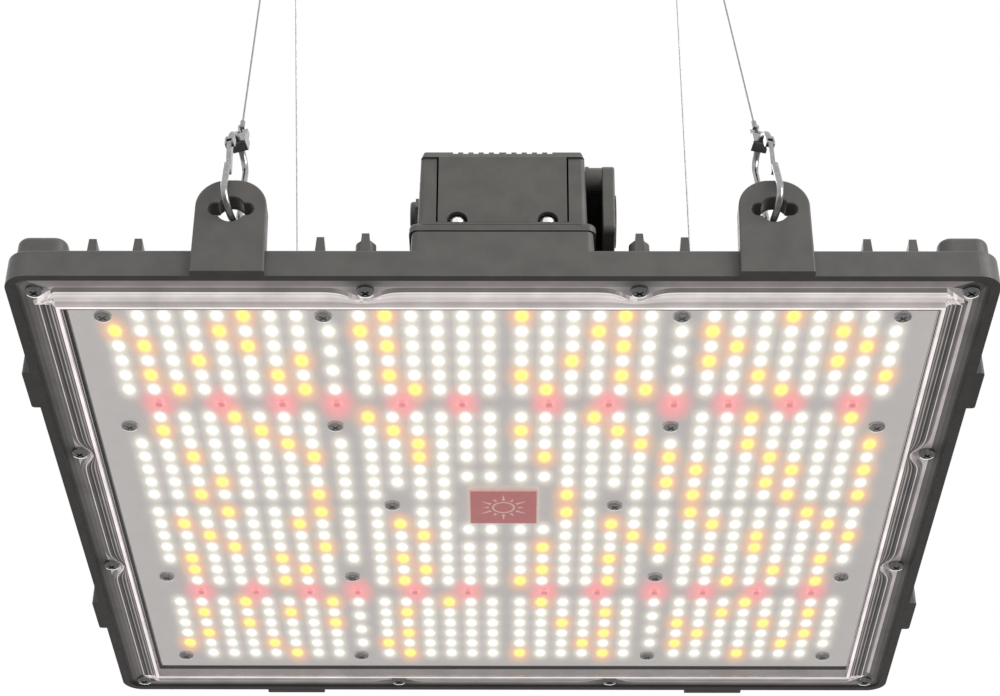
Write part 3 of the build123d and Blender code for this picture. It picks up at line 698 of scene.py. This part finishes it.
def piped_light():
    """Polycarbonate that carries the LEDs' light out to its edges."""
    made = Finish("edge_lit_polycarbonate", grey(0.06), 0.22, IOR=1.25)
    made.worn(6 * mm, 0.16, 0.30)
    attribute = made.node("ShaderNodeAttribute", attribute_name="tone")
    linear = made.node("ShaderNodeMath", operation="POWER")
    made.links.new(attribute.outputs["Fac"], linear.inputs[0])
    linear.inputs[1].default_value = 2.2
    drift = made.spread(made.noise(14 * mm), 0.82, 1.12)
    level = made.node("ShaderNodeMath", operation="MULTIPLY")
    made.links.new(linear.outputs["Value"], level.inputs[0])
    made.links.new(drift, level.inputs[1])
    made.shader.inputs["Emission Color"].default_value = (1.0, 0.91, 0.895, 1)
    made.drive("Emission Strength", level.outputs["Value"])
    return made.material


def window_sheet():
    """The clear window: a bevelled square sheet inside the border."""
    bm = bmesh.new()
    half = window_line - 0.15
    rings = []
    for reach, z in ((half - 0.3, -1.9), (half, -1.6), (half, -0.4), (half - 0.3, -0.1)):
        outline = [(i * reach + cover_shift, j * reach, z) for i, j in corners]
        rings.append([bm.verts.new(Vector(at) * mm) for at in outline])
    for low, high in zip(rings, rings[1:]):
        for i in range(4):
            after = (i + 1) % 4
            bm.faces.new((low[i], low[after], high[after], high[i]))
    bm.faces.new(rings[0])
    bm.faces.new(rings[-1])
    bmesh.ops.recalc_face_normals(bm, faces=bm.faces[:])
    return mesh_of("cover_window", bm)


def screw_glints(name, places, z):
    """The bright crescents that the LEDs light on the rear edges of the screw heads."""
    bm = bmesh.new()
    count, reach, thick = 16, 2.7, 0.22
    for x, y in places:
        sections = []
        for i in range(count + 1):
            along = i / count
            turn = radians(25 + 130 * along)
            wide = 0.03 + thick * sin(pi * along)
            section = []
            for out, up in ((-wide, 0.06), (wide, 0.06), (wide, -0.06), (-wide, -0.06)):
                away = reach + out
                at = Vector((x + away * cos(turn), y + away * sin(turn), z + up))
                section.append(bm.verts.new(at * mm))
            sections.append(section)
        for first, second in zip(sections, sections[1:]):
            for i in range(4):
                after = (i + 1) % 4
                bm.faces.new((first[i], first[after], second[after], second[i]))
        bm.faces.new(sections[0])
        bm.faces.new(sections[-1])
    bmesh.ops.recalc_face_normals(bm, faces=bm.faces[:])
    glint = plain(f"{name}_light", grey(0.8), 0.3, 2 * mm, lit_by=(0.92, 0.88, 0.86))
    piece_from(name, mesh_of(name, bm), glint)


cover_screws = [(i * 155.5, j * 155.5) for i in (-1, 1) for j in (-1, 1)]
cover_screws += [(i * 155.5, j * screw_mid) for i in (-1, 1) for j in (-1, 1)]
cover_screws += [(i * screw_mid, j * 155.5) for i in (-1, 1) for j in (-1, 1)]
screw_glints("cover_screw_glints", cover_screws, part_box("cover_screws")[0].z / mm + 0.25)
screw_glints("board_screw_glints", screws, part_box("board_screws")[0].z / mm + 0.2)
border = piece_from("cover_border", cover_border(), piped_light())
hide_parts("lens_cover")
piece_from("cover_window", window_sheet(), finishes["clear_cover"])


# ---- studio ------------------------------------------------------------------------------
def studio_world():
    """White to look at, while it lights the object brightly from above and dimly from below."""
    world = bpy.data.worlds.new("studio")
    scene.world = world
    world.use_nodes = True
    tree = world.node_tree
    tree.nodes.clear()
    where = tree.nodes.new("ShaderNodeTexCoord")
    split = tree.nodes.new("ShaderNodeSeparateXYZ")
    tree.links.new(where.outputs["Generated"], split.inputs["Vector"])
    height = tree.nodes.new("ShaderNodeMapRange")
    height.interpolation_type = "SMOOTHSTEP"
    height.inputs["From Min"].default_value = -0.35
    height.inputs["From Max"].default_value = 0.45
    height.inputs["To Min"].default_value = 0.30
    height.inputs["To Max"].default_value = 1.0
    tree.links.new(split.outputs["Z"], height.inputs["Value"])
    tent = tree.nodes.new("ShaderNodeBackground")
    tree.links.new(height.outputs["Result"], tent.inputs["Strength"])
    seen = tree.nodes.new("ShaderNodeBackground")
    path = tree.nodes.new("ShaderNodeLightPath")
    both = tree.nodes.new("ShaderNodeMixShader")
    for shader in (tent, seen):
        shader.inputs["Color"].default_value = (1, 1, 1, 1)
    tree.links.new(path.outputs["Is Camera Ray"], both.inputs["Fac"])
    tree.links.new(tent.outputs["Background"], both.inputs[1])
    tree.links.new(seen.outputs["Background"], both.inputs[2])
    out = tree.nodes.new("ShaderNodeOutputWorld")
    tree.links.new(both.outputs["Shader"], out.inputs["Surface"])


def softbox(name, at, size, power):
    """A square soft light that faces the object."""
    lamp = bpy.data.lights.new(name, "AREA")
    lamp.size = size
    lamp.energy = power
    made = bpy.data.objects.new(name, lamp)
    scene.collection.objects.link(made)
    made.location = at
    made.rotation_euler = (-Vector(at)).to_track_quat("-Z", "Y").to_euler()


def studio_floor():
    half = 4.0
    level = Matrix.Translation((0, 0, camera.location.z - 0.15))
    bm = bmesh.new()
    bmesh.ops.create_grid(bm, x_segments=8, y_segments=8, size=half, matrix=level)
    made = bpy.data.objects.new("floor", mesh_of("floor", bm))
    scene.collection.objects.link(made)
    dress(made, plain("pale_floor", grey(0.86), 0.8, 0.4, 0.01))
    made.visible_diffuse = False
    made.visible_glossy = False
    made.visible_transmission = False


studio_world()
softbox("key", (2.0, -1.6, 0.8), 1.5, 40)
softbox("back_fill", (-1.0, 2.0, 1.6), 1.6, 12)
studio_floor()
